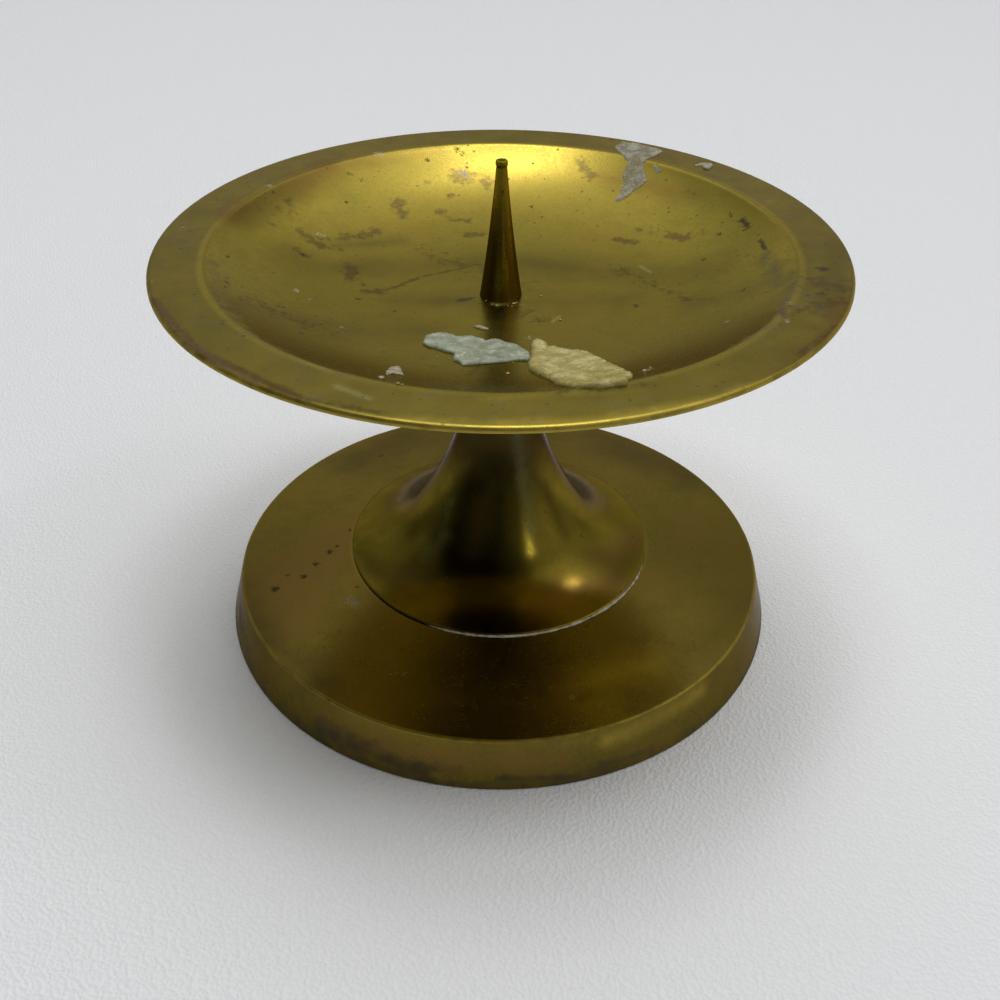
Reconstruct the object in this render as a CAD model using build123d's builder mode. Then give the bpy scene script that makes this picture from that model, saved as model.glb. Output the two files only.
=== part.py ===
from build123d import *
from math import cos, radians, sin
import os

# Pricket candle stand in turned brass, clamped on one threaded rod.
# Millimetres, +Z up, origin on the table at the middle of the base.

# Base: a turned disc, hollow underneath, that stands on a ring
base_radius = 55.6
base_top_radius = 52.9
base_edge_height = 9.6
base_seat_height = 13.0
base_wall = 3.0
foot_ring_width = 5.0
base_edge_break = 0.3
base_foot_round = 0.3
hollow_round = 2.0
seat_margin = 0.35
boss_radius = 10.0
boss_drop = 2.0

# Register: the raised disc of the base that centres the stem
register_radius = 25.35
register_height = 0.8
register_gap = 0.15
register_head_gap = 0.2

# Stem: a hollow trumpet, waisted below the pan
stem_height = 53.2
foot_radius = 30.25
foot_edge = 0.45
foot_slope = 12.0
waist_radius = 6.0
waist_drop = 10.4
join_turn = 36.0
collar_radius = 10.5
collar_edge = 0.8
stem_wall = 2.2
core_rise = 2.0

# Drip pan: a shallow dish with a broad flat rim
pan_radius = 60.0
pan_depth = 9.9
pan_wall = 2.0
rim_width = 8.8
rim_edge_thickness = 1.0
rim_round = 0.75
rim_under_round = 0.2
shoulder_round = 1.6
dish_floor_turn = 10.0
dish_wall_turn = 34.0
floor_margin = 0.5

# Spike: a slender cone, slightly hollow in outline, with a blunt tip
spike_length = 24.4
spike_radius = 3.75
spike_hollow = 0.22
neck_radius = 0.92
tip_radius = 1.03
tip_height = 1.0
tip_round = 0.2

# Rod and fastenings under the base
rod_radius = 2.0
rod_chamfer = 0.4
rod_gap = 0.15
thread_gap = 0.05
thread_depth = 5.0
thread_end_gap = 0.4
rod_below_nut = 1.2
washer_radius = 8.0
washer_thickness = 1.2
spring_washer_radius = 3.8
spring_washer_thickness = 0.9
spring_washer_split = 0.6
split_slant = 25.0
nut_sides = 6
nut_across_flats = 7.0
nut_height = 3.2
nut_chamfer = 0.45

# Cuts run past the faces that they go through by this much
overrun = 1.0

# Heights and radii that follow from the sizes above
stem_top = base_seat_height + stem_height
pan_floor = stem_top + pan_wall
rim_height = pan_floor + pan_depth
waist_height = stem_top - waist_drop
foot_top = base_seat_height + foot_edge
seat_radius = foot_radius + seat_margin
floor_radius = collar_radius + floor_margin
rim_inner_radius = pan_radius - rim_width
boss_face = base_seat_height - base_wall - boss_drop
washer_face = boss_face - washer_thickness
spring_washer_face = washer_face - spring_washer_thickness
nut_face = spring_washer_face - nut_height
rod_bottom = nut_face - rod_below_nut
rod_top = pan_floor + thread_depth - thread_end_gap
rod_hole_radius = rod_radius + rod_gap
thread_radius = rod_radius + thread_gap


def two_arc_radii(across, along, first, second):
    """Radii of two arcs that meet smoothly: the first turns away from the start direction by the
    angle first, the second from there to the angle second, and together they go along that
    direction and across it by the lengths given."""
    a, b = radians(first), radians(second)
    across_1, across_2 = 1 - cos(a), cos(a) - cos(b)
    along_1, along_2 = sin(a), sin(b) - sin(a)
    spread = across_1 * along_2 - across_2 * along_1
    radius_1 = (across * along_2 - across_2 * along) / spread
    radius_2 = (across_1 * along - along_1 * across) / spread
    return radius_1, radius_2


# Stem: two arcs carry the outline from the upright waist to the nearly flat foot
foot_turn = 90 - foot_slope
flare_upper, flare_lower = two_arc_radii(
    foot_radius - waist_radius, waist_height - foot_top, join_turn, foot_turn
)
waist = (waist_radius, waist_height)

with BuildPart() as stem:
    with BuildSketch(Plane.XZ):
        with BuildLine():
            upper = JernArc(waist, (0, -1), flare_upper, join_turn)
            lower = JernArc(upper @ 1, upper % 1, flare_lower, foot_turn - join_turn)
            collar = TangentArc(waist, (collar_radius, stem_top - collar_edge), tangent=(0, 1))
            Polyline(
                lower @ 1,
                (foot_radius, base_seat_height),
                (0, base_seat_height),
                (0, stem_top),
                (collar_radius, stem_top),
                collar @ 1,
            )
        make_face()
    revolve(axis=Axis.Z)
    # The core follows the outline one wall inside it and is open below
    with BuildSketch(Plane.XZ):
        with BuildLine():
            core_upper = JernArc(
                (waist_radius - stem_wall, waist_height), (0, -1), flare_upper + stem_wall, join_turn
            )
            core_lower = JernArc(
                core_upper @ 1, core_upper % 1, flare_lower + stem_wall, foot_turn - join_turn
            )
            core_end = core_lower @ 1
            Polyline(
                core_end,
                (core_end.X, base_seat_height - stem_wall - overrun),
                (0, base_seat_height - stem_wall - overrun),
                (0, waist_height + core_rise),
                (waist_radius - stem_wall, waist_height + core_rise),
                core_upper @ 0,
            )
        make_face()
    revolve(axis=Axis.Z, mode=Mode.SUBTRACT)
    # Bore for the rod, and the recess that fits over the register of the base
    with BuildSketch(Plane.XY.offset(waist_height)):
        Circle(rod_hole_radius)
    extrude(amount=waist_drop + overrun, mode=Mode.SUBTRACT)
    with BuildSketch(Plane.XY.offset(base_seat_height - overrun)):
        Circle(register_radius + register_gap)
    extrude(amount=overrun + register_height + register_head_gap, mode=Mode.SUBTRACT)
stem.part.label = "stem"

# Base: sloping side, shallow cone on top, flat seat and register for the stem
with BuildPart() as base:
    with BuildSketch(Plane.XZ):
        with BuildLine():
            Polyline(
                (0, 0),
                (base_radius, 0),
                (base_top_radius, base_edge_height),
                (seat_radius, base_seat_height),
                (register_radius, base_seat_height),
                (register_radius, base_seat_height + register_height),
                (0, base_seat_height + register_height),
                close=True,
            )
        make_face()
        fillet(vertices().group_by(Axis.X)[-1], radius=base_foot_round)
        chamfer(
            vertices().filter_by_position(Axis.X, base_top_radius, base_top_radius),
            length=base_edge_break,
        )
    revolve(axis=Axis.Z)
    # The hollow underneath keeps one wall under the top and leaves a boss for the rod
    with BuildSketch(Plane.XZ):
        with BuildLine():
            Polyline(
                (boss_radius, -overrun),
                (base_radius - foot_ring_width, -overrun),
                (base_radius - foot_ring_width, 0),
                (base_top_radius - base_wall, base_edge_height - base_wall),
                (seat_radius, base_seat_height - base_wall),
                (boss_radius, base_seat_height - base_wall),
                close=True,
            )
        make_face()
        fillet(
            vertices().filter_by_position(
                Axis.X, base_top_radius - base_wall, base_top_radius - base_wall
            ),
            radius=hollow_round,
        )
    revolve(axis=Axis.Z, mode=Mode.SUBTRACT)
    with BuildSketch(Plane.XY.offset(-overrun)):
        Circle(boss_radius + overrun)
    extrude(amount=overrun + boss_face, mode=Mode.SUBTRACT)
    Hole(rod_hole_radius)
base.part.label = "base"

# Drip pan: flat floor, two dish arcs, a small rounded shoulder and a flat rim
shoulder_across = shoulder_round * (1 - cos(radians(dish_wall_turn)))
shoulder_along = shoulder_round * sin(radians(dish_wall_turn))
dish_floor, dish_wall = two_arc_radii(
    pan_depth - shoulder_across,
    rim_inner_radius - floor_radius - shoulder_along,
    dish_floor_turn,
    dish_wall_turn,
)

with BuildPart() as drip_pan:
    with BuildSketch(Plane.XZ) as pan_section:
        with BuildLine():
            top_floor = Line((0, pan_floor), (floor_radius, pan_floor))
            top_dish = JernArc(top_floor @ 1, (1, 0), dish_floor, dish_floor_turn)
            top_wall = JernArc(
                top_dish @ 1, top_dish % 1, dish_wall, dish_wall_turn - dish_floor_turn
            )
            top_shoulder = JernArc(top_wall @ 1, top_wall % 1, shoulder_round, -dish_wall_turn)
            under_floor = Line((0, stem_top), (floor_radius, stem_top))
            under_dish = JernArc(
                under_floor @ 1, (1, 0), dish_floor + pan_wall, dish_floor_turn
            )
            under_wall = JernArc(
                under_dish @ 1,
                under_dish % 1,
                dish_wall + pan_wall,
                dish_wall_turn - dish_floor_turn,
            )
            under_shoulder = JernArc(
                under_wall @ 1, under_wall % 1, shoulder_round + pan_wall, -dish_wall_turn
            )
            Polyline(
                top_shoulder @ 1,
                (pan_radius, rim_height),
                (pan_radius, rim_height - rim_edge_thickness),
                under_shoulder @ 1,
            )
            Line(top_floor @ 0, under_floor @ 0)
        make_face()
        rim_corners = vertices().group_by(Axis.X)[-1].sort_by(Axis.Y)
        fillet(rim_corners[-1], radius=rim_round)
        fillet(rim_corners[0], radius=rim_under_round)
    revolve(axis=Axis.Z)
    with BuildSketch(Plane.XY.offset(stem_top - overrun)):
        Circle(rod_hole_radius)
    extrude(amount=pan_wall + overrun * 2, mode=Mode.SUBTRACT)
drip_pan.part.label = "drip_pan"

# Spike: stands on the pan floor and is tapped from below for the rod
spike_tip = pan_floor + spike_length
neck_height = spike_tip - tip_height

with BuildPart() as pricket_spike:
    with BuildSketch(Plane.XZ):
        with BuildLine():
            SagittaArc((spike_radius, pan_floor), (neck_radius, neck_height), spike_hollow)
            Polyline(
                (neck_radius, neck_height),
                (tip_radius, neck_height + tip_round),
                (tip_radius, spike_tip),
                (0, spike_tip),
                (0, pan_floor),
                (spike_radius, pan_floor),
            )
        make_face()
        fillet(vertices().group_by(Axis.Y)[-1].sort_by(Axis.X)[-1], radius=tip_round)
    revolve(axis=Axis.Z)
    with Locations(Plane.XY.offset(pan_floor)):
        Hole(thread_radius, depth=thread_depth)
pricket_spike.part.label = "pricket_spike"

# Rod: from the nut up into the spike
with BuildPart() as tie_rod:
    with BuildSketch(Plane.XY.offset(rod_bottom)):
        Circle(rod_radius)
    extrude(amount=rod_top - rod_bottom)
    chamfer(edges().filter_by(GeomType.CIRCLE), length=rod_chamfer)
tie_rod.part.label = "tie_rod"

# Washers and nut: stacked under the boss of the base
with BuildPart() as flat_washer:
    with BuildSketch(Plane.XY.offset(washer_face)):
        Circle(washer_radius)
        Circle(rod_hole_radius, mode=Mode.SUBTRACT)
    extrude(amount=washer_thickness)
flat_washer.part.label = "flat_washer"

with BuildPart() as spring_washer:
    with BuildSketch(Plane.XY.offset(spring_washer_face)):
        Circle(spring_washer_radius)
        Circle(rod_hole_radius, mode=Mode.SUBTRACT)
    extrude(amount=spring_washer_thickness)
    # The split slants through the ring, as on a washer pressed flat
    split_length = spring_washer_radius - rod_hole_radius + overrun * 2
    split_plane = Plane(
        origin=(
            (spring_washer_radius + rod_hole_radius) / 2,
            0,
            spring_washer_face + spring_washer_thickness / 2,
        ),
        x_dir=(1, 0, 0),
        z_dir=(0, -sin(radians(split_slant)), cos(radians(split_slant))),
    )
    with BuildSketch(split_plane):
        Rectangle(split_length, spring_washer_split)
    extrude(amount=spring_washer_thickness + overrun, both=True, mode=Mode.SUBTRACT)
spring_washer.part.label = "spring_washer"

nut_corner_radius = nut_across_flats / 2 / cos(radians(180 / nut_sides))

with BuildPart() as hex_nut:
    with BuildSketch(Plane.XY.offset(nut_face)):
        Circle(nut_corner_radius)
    extrude(amount=nut_height)
    chamfer(edges().filter_by(GeomType.CIRCLE), length=nut_chamfer)
    with BuildSketch(Plane.XY.offset(nut_face)):
        RegularPolygon(nut_across_flats / 2, nut_sides, major_radius=False)
        Circle(thread_radius, mode=Mode.SUBTRACT)
    extrude(amount=nut_height, mode=Mode.INTERSECT)
hex_nut.part.label = "hex_nut"

os.makedirs("parts", exist_ok=True)
for piece in (
    drip_pan, pricket_spike, stem, base, tie_rod, flat_washer, spring_washer, hex_nut
):
    export_step(piece.part, f"parts/{piece.part.label}.step")
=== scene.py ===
import math
import random

import bmesh
import bpy
import numpy as np
from mathutils import Matrix, Vector, geometry, noise


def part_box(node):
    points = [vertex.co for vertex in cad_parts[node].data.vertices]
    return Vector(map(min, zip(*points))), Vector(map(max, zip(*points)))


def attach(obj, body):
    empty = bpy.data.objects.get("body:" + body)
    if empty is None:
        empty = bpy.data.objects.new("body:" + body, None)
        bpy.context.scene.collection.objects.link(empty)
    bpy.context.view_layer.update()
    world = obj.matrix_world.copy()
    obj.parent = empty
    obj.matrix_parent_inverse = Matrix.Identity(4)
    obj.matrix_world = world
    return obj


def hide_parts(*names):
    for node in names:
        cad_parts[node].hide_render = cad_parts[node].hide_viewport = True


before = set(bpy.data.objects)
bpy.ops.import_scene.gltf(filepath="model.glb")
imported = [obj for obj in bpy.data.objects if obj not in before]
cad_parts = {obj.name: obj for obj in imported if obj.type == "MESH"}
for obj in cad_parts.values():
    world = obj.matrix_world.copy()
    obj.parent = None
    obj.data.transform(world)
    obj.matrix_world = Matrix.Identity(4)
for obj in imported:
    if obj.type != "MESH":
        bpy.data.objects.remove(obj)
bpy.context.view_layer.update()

# Viewpoint
# The stand is seen from in front and above, close by and 36 degrees downward, through a lens of
# ordinary width that leans half a degree.
picture_side = 1000
lens_reach_pixels = 1139.63
sensor_width = 36.0
eye = Vector((0.00014, -0.1865, 0.1591))
look_down = math.radians(36.238)
lean = math.radians(0.439)


def in_scene(name, data):
    made = bpy.data.objects.new(name, data)
    bpy.context.scene.collection.objects.link(made)
    return made


viewpoint = in_scene("viewpoint", bpy.data.cameras.new("viewpoint"))
viewpoint.data.sensor_width = sensor_width
viewpoint.data.lens = sensor_width * lens_reach_pixels / picture_side
viewpoint.data.clip_start = 0.01
viewpoint.matrix_world = (
    Matrix.Translation(eye)
    @ Matrix.Rotation(math.pi / 2 - look_down, 4, "X")
    @ Matrix.Rotation(lean, 4, "Z")
)
bpy.context.scene.camera = viewpoint
bpy.context.scene.view_settings.view_transform = "Standard"

# Base
# The foot of the stand: a heavy brass disc, turned on a lathe, with a sloping side and a shallow
# cone on top, hollow underneath. The brass has aged to a warm brown, with dark spots on the top
# and grime along the foot that is partly painted shade.
_, base_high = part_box("base")
base_radius = base_high.x
base_top_radius = 0.0529
base_edge_height = 0.0096
base_seat_height = 0.0130
base_seat_radius = 0.0306
base_wall = 0.0030
foot_ring_width = 0.0050
base_edge_round = 0.00035
base_foot_round = 0.0003
hollow_round = 0.0020
boss_radius = 0.0100
boss_face = 0.0080
register_radius = 0.02535
rod_hole_radius = 0.00215
shown_step = 0.0004
hidden_step = 0.0020
turned_sides = 540
on_axis = 1e-7
grime_height = 0.0022
foot_grime = 0.45


def outline(corners, sides=7):
    """A closed outline through corners (radius, height, rounding, step): each corner is rounded
    by an arc, and the run after it is cut into steps no longer than step. A corner given as
    (radius, height) is sharp and hidden."""
    points = []
    for before, here, after in zip(corners[-1:] + corners[:-1], corners, corners[1:] + corners[:1]):
        corner = Vector(here[:2])
        rounding, step = here[2:] or (0, hidden_step)
        if rounding:
            back = (Vector(before[:2]) - corner).normalized()
            on = (Vector(after[:2]) - corner).normalized()
            half = back.angle(on) / 2
            centre = corner + (back + on).normalized() * rounding / math.sin(half)
            first = corner + back * rounding / math.tan(half)
            last = corner + on * rounding / math.tan(half)
            start = math.atan2(first.y - centre.y, first.x - centre.x)
            turn = math.atan2(last.y - centre.y, last.x - centre.x) - start
            turn = (turn + math.pi) % (2 * math.pi) - math.pi
            for i in range(sides):
                angle = start + turn * i / sides
                way = Vector((math.cos(angle), math.sin(angle)))
                points.append((centre + way * rounding, rounding))
            points.append((last, step))
        else:
            points.append((corner, step))
    fine = []
    for (here, step), (after, _) in zip(points, points[1:] + points[:1]):
        count = max(1, math.ceil((after - here).length / step))
        fine += [here.lerp(after, i / count) for i in range(count)]
    return fine


def new_piece(name, build):
    """A piece in the scene, made of the faces in build."""
    mesh = bpy.data.meshes.new(name)
    build.to_mesh(mesh)
    build.free()
    return in_scene(name, mesh)


def turned(name, points, worn_edges=(), wear_reach=0.0008, sides=turned_sides):
    """A closed solid of revolution about the stand's axis. Its points carry edge, which is 1 on
    the worn edges, given in (radius, height), and fades to 0 at wear_reach."""
    build = bmesh.new()
    rings = []
    for point in points:
        if point.x < on_axis:
            rings.append([build.verts.new((0, 0, point.y))] * sides)
        else:
            angles = (2 * math.pi * i / sides for i in range(sides))
            rings.append(
                [
                    build.verts.new((point.x * math.cos(a), point.x * math.sin(a), point.y))
                    for a in angles
                ]
            )
    for inner, outer in zip(rings, rings[1:] + rings[:1]):
        for i in range(sides):
            j = (i + 1) % sides
            corners = list(dict.fromkeys([inner[i], inner[j], outer[j], outer[i]]))
            if len(corners) > 2:
                build.faces.new(corners).smooth = True
    bmesh.ops.recalc_face_normals(build, faces=build.faces)
    piece = new_piece(name, build)
    places = vertex_places(piece)
    section = np.stack([np.hypot(places[:, 0], places[:, 1]), places[:, 2]], axis=1)
    near = np.full(len(places), wear_reach)
    for edge in worn_edges:
        near = np.minimum(near, np.linalg.norm(section - np.array(edge), axis=1))
    set_field(piece, "edge", 1 - near / wear_reach)
    return piece


def vertex_places(piece):
    places = np.empty(len(piece.data.vertices) * 3)
    piece.data.vertices.foreach_get("co", places)
    return places.reshape(-1, 3)


def set_field(piece, name, values):
    layer = piece.data.attributes.new(name, "FLOAT", "POINT")
    layer.data.foreach_set("value", np.ascontiguousarray(values, dtype=np.float32))


def sight(pixel, piece):
    """Where the line of sight through a pixel of the photograph meets a piece."""
    across = (pixel[0] - picture_side / 2) / lens_reach_pixels
    down = (pixel[1] - picture_side / 2) / lens_reach_pixels
    way = viewpoint.matrix_world.to_3x3() @ Vector((across, -down, -1))
    found, place, _, _ = piece.ray_cast(eye, way.normalized())
    return place if found else None


def mark(piece, field, rows, ground=0.0):
    """Marks on a piece, in a field that is the row's strength in the middle of a mark and falls
    to ground at its border. A row is the pixel where the mark starts, the one where it ends if
    that is another, its half width in millimetres, and its strength."""
    places = vertex_places(piece)
    values = np.zeros(len(places)) + ground
    for row in rows:
        x_1, y_1, x_2, y_2, half_width, strength = row if len(row) == 6 else row[:2] + row
        start, end = sight((x_1, y_1), piece), sight((x_2, y_2), piece)
        if start is None or end is None:
            raise ValueError(f"a mark in {field} misses {piece.name}: {row}")
        run = np.array(end - start)
        offset = places - np.array(start)
        share = np.clip(offset @ run / max(run @ run, 1e-12), 0, 1)
        away = np.linalg.norm(offset - share[:, None] * run, axis=1)
        values = np.maximum(values, (1 - away * 1000 / half_width) * strength)
    set_field(piece, field, values)


def supply(tree, made, inputs):
    """Set the inputs of a node, or link them where the value is a socket."""
    for name, value in inputs.items():
        if isinstance(value, bpy.types.NodeSocket):
            tree.links.new(value, made.inputs[name])
        else:
            made.inputs[name].default_value = value


def node(tree, kind, inputs=None, **settings):
    """A shader node with these settings and inputs."""
    made = tree.nodes.new(kind)
    for name, value in settings.items():
        setattr(made, name, value)
    supply(tree, made, inputs or {})
    return made


def reckon(tree, operation, *values):
    """The result of one sum on numbers or sockets."""
    return node(tree, "ShaderNodeMath", dict(enumerate(values)), operation=operation).outputs[0]


def weighed(tree, *pairs):
    """The sum of value times weight over pairs."""
    total = 0.0
    for value, weight in pairs:
        total = reckon(tree, "MULTIPLY_ADD", value, weight, total)
    return total


def coat(tree, share, under, over):
    """The colour under, covered by the colour over as far as share says."""
    made = node(tree, "ShaderNodeMix", {0: share, 6: under, 7: over}, data_type="RGBA")
    return made.outputs[2]


def eased(tree, value, low, high, start=0.0, end=1.0):
    """value taken from low..high to start..end with soft ends."""
    made = node(
        tree,
        "ShaderNodeMapRange",
        {"Value": value, "From Min": low, "From Max": high, "To Min": start, "To Max": end},
        interpolation_type="SMOOTHSTEP",
    )
    return made.outputs["Result"]


def effect(name, inputs, outputs):
    """An empty shader node group with number inputs, given with their defaults."""
    group = bpy.data.node_groups.new(name, "ShaderNodeTree")
    for label, value in inputs.items():
        socket = group.interface.new_socket(label, in_out="INPUT", socket_type="NodeSocketFloat")
        socket.default_value = value
    for label in outputs:
        group.interface.new_socket(label, in_out="OUTPUT", socket_type="NodeSocketFloat")
    given = group.nodes.new("NodeGroupInput").outputs
    made = group.nodes.new("NodeGroupOutput").inputs
    return group, given, made


def used(tree, group, **inputs):
    """The outputs of one use of an effect in a material."""
    return node(tree, "ShaderNodeGroup", inputs, node_tree=group).outputs


def on_object(tree):
    return node(tree, "ShaderNodeTexCoord").outputs["Object"]


def carried(tree, field):
    return node(tree, "ShaderNodeAttribute", attribute_name=field).outputs["Fac"]


def new_material(name):
    """A material, its node tree and its surface shader."""
    made = bpy.data.materials.new(name)
    made.use_nodes = True
    return made, made.node_tree, made.node_tree.nodes["Principled BSDF"]


def dent(tree, height, strength, distance):
    """The normal of fine relief, where a height of 1 stands for distance in metres."""
    inputs = {"Strength": strength, "Distance": distance, "Height": height}
    return node(tree, "ShaderNodeBump", inputs).outputs[0]


def product(tree, first, second):
    return reckon(tree, "MULTIPLY", first, second)


def larger(tree, first, second):
    return reckon(tree, "MAXIMUM", first, second)


# rings that the lathe tool and the polishing cloth left, which fade in and out round the piece
turning_rings, given, made = effect("turning_rings", {"Rings": 9000, "Wander": 2.5}, ["Height"])
x, y, z = node(turning_rings, "ShaderNodeSeparateXYZ", {0: on_object(turning_rings)}).outputs
square = weighed(turning_rings, (x, x), (y, y))
radius = reckon(turning_rings, "SQRT", reckon(turning_rings, "ADD", square, 1e-10))
wander = reckon(turning_rings, "DIVIDE", given["Wander"], radius)
ring_place = node(
    turning_rings,
    "ShaderNodeCombineXYZ",
    {
        0: product(turning_rings, radius, given["Rings"]),
        1: product(turning_rings, z, given["Rings"]),
        2: product(turning_rings, x, wander),
    },
)
along = product(turning_rings, y, wander)
ring_noise = node(
    turning_rings,
    "ShaderNodeTexNoise",
    {"Vector": ring_place.outputs[0], "W": along, "Scale": 1.0, "Detail": 2.0, "Roughness": 0.6},
    noise_dimensions="4D",
)
turning_rings.links.new(ring_noise.outputs[0], made["Height"])

# soft cloudy patches, as tarnish has
clouds, given, made = effect("clouds", {"Scale": 60, "Low": 0.4, "High": 0.65, "Seed": 0}, ["Mask"])
moved = node(
    clouds, "ShaderNodeVectorMath", {0: on_object(clouds), 1: given["Seed"]}, operation="ADD"
)
cloud_noise = node(
    clouds,
    "ShaderNodeTexNoise",
    {"Vector": moved.outputs[0], "Scale": given["Scale"], "Detail": 3.0, "Roughness": 0.6},
)
clouds.links.new(eased(clouds, cloud_noise.outputs[0], given["Low"], given["High"]), made["Mask"])

# small round pits and specks of many sizes, scattered at random
pits, given, made = effect("pits", {"Scale": 700, "Size": 0.3, "Share": 0.3}, ["Mask"])
cells = node(pits, "ShaderNodeTexVoronoi", {"Vector": on_object(pits), "Scale": given["Scale"]})
chance = node(pits, "ShaderNodeSeparateColor", {0: cells.outputs["Color"]}).outputs
chosen = reckon(pits, "LESS_THAN", chance[0], given["Share"])
reach = product(pits, given["Size"], chance[1])
inner = product(pits, reach, 0.4)
spot = eased(pits, cells.outputs["Distance"], inner, reach, 1.0, 0.0)
pits.links.new(product(pits, spot, chosen), made["Mask"])

# the soft field of a mark, turned into a stain with a ragged border
stain, given, made = effect(
    "stain", {"Field": 0, "Grain": 900, "Raggedness": 0.5, "Softness": 0.2}, ["Mask"]
)
grain = node(
    stain,
    "ShaderNodeTexNoise",
    {"Vector": on_object(stain), "Scale": given["Grain"], "Detail": 2.0, "Roughness": 0.7},
)
shift = product(stain, reckon(stain, "SUBTRACT", grain.outputs[0], 0.5), given["Raggedness"])
marked = reckon(stain, "GREATER_THAN", given["Field"], 0.001)
field = product(stain, reckon(stain, "ADD", given["Field"], shift), marked)
stained = eased(stain, field, 0.05, reckon(stain, "ADD", given["Softness"], 0.05))
stain.links.new(stained, made["Mask"])

# hair-fine straight scratches in a few directions
scratches, given, made = effect("scratches", {"Scale": 60, "Stretch": 30, "Share": 0.1}, ["Mask"])
lines = 0.0
for turn in (0.3, 1.5, 2.4):
    facing = node(
        scratches,
        "ShaderNodeVectorRotate",
        {"Vector": on_object(scratches), "Angle": turn},
        rotation_type="Z_AXIS",
    )
    stretch = node(scratches, "ShaderNodeCombineXYZ", {0: 1.0, 1: given["Stretch"], 2: 0.0})
    drawn = node(
        scratches,
        "ShaderNodeVectorMath",
        {0: facing.outputs[0], 1: stretch.outputs[0]},
        operation="MULTIPLY",
    )
    cells = node(
        scratches, "ShaderNodeTexVoronoi", {"Vector": drawn.outputs[0], "Scale": given["Scale"]}
    )
    chance = node(scratches, "ShaderNodeSeparateColor", {0: cells.outputs["Color"]}).outputs
    chosen = reckon(scratches, "LESS_THAN", chance[0], given["Share"])
    line = eased(scratches, cells.outputs["Distance"], 0.02, 0.10, 1.0, 0.0)
    lines = larger(scratches, lines, product(scratches, line, chosen))
scratches.links.new(lines, made["Mask"])

# colours of the metal and of what has grown on it, as linear red, green and blue, and two values
# by which the metal's own colour is multiplied: under its film, and where it is rubbed bright or
# carries a painted highlight; the grey of grime also serves as painted shade
clean_brass = (0.72, 0.55, 0.12, 1)
base_brass = (0.196, 0.143, 0.024, 1)
brown_film = (0.21, 0.125, 0.030, 1)
smudge_brown = (0.100, 0.068, 0.030, 1)
dark_stain = (0.032, 0.020, 0.007, 1)
white_bloom = (0.42, 0.41, 0.35, 1)
grey_grime_and_shade = (0.075, 0.058, 0.030, 1)
pale_smear = (0.24, 0.28, 0.13, 1)
olive_film = (0.52, 0.64, 0.74, 1)
rubbed_and_highlit_gain = 1.8


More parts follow.
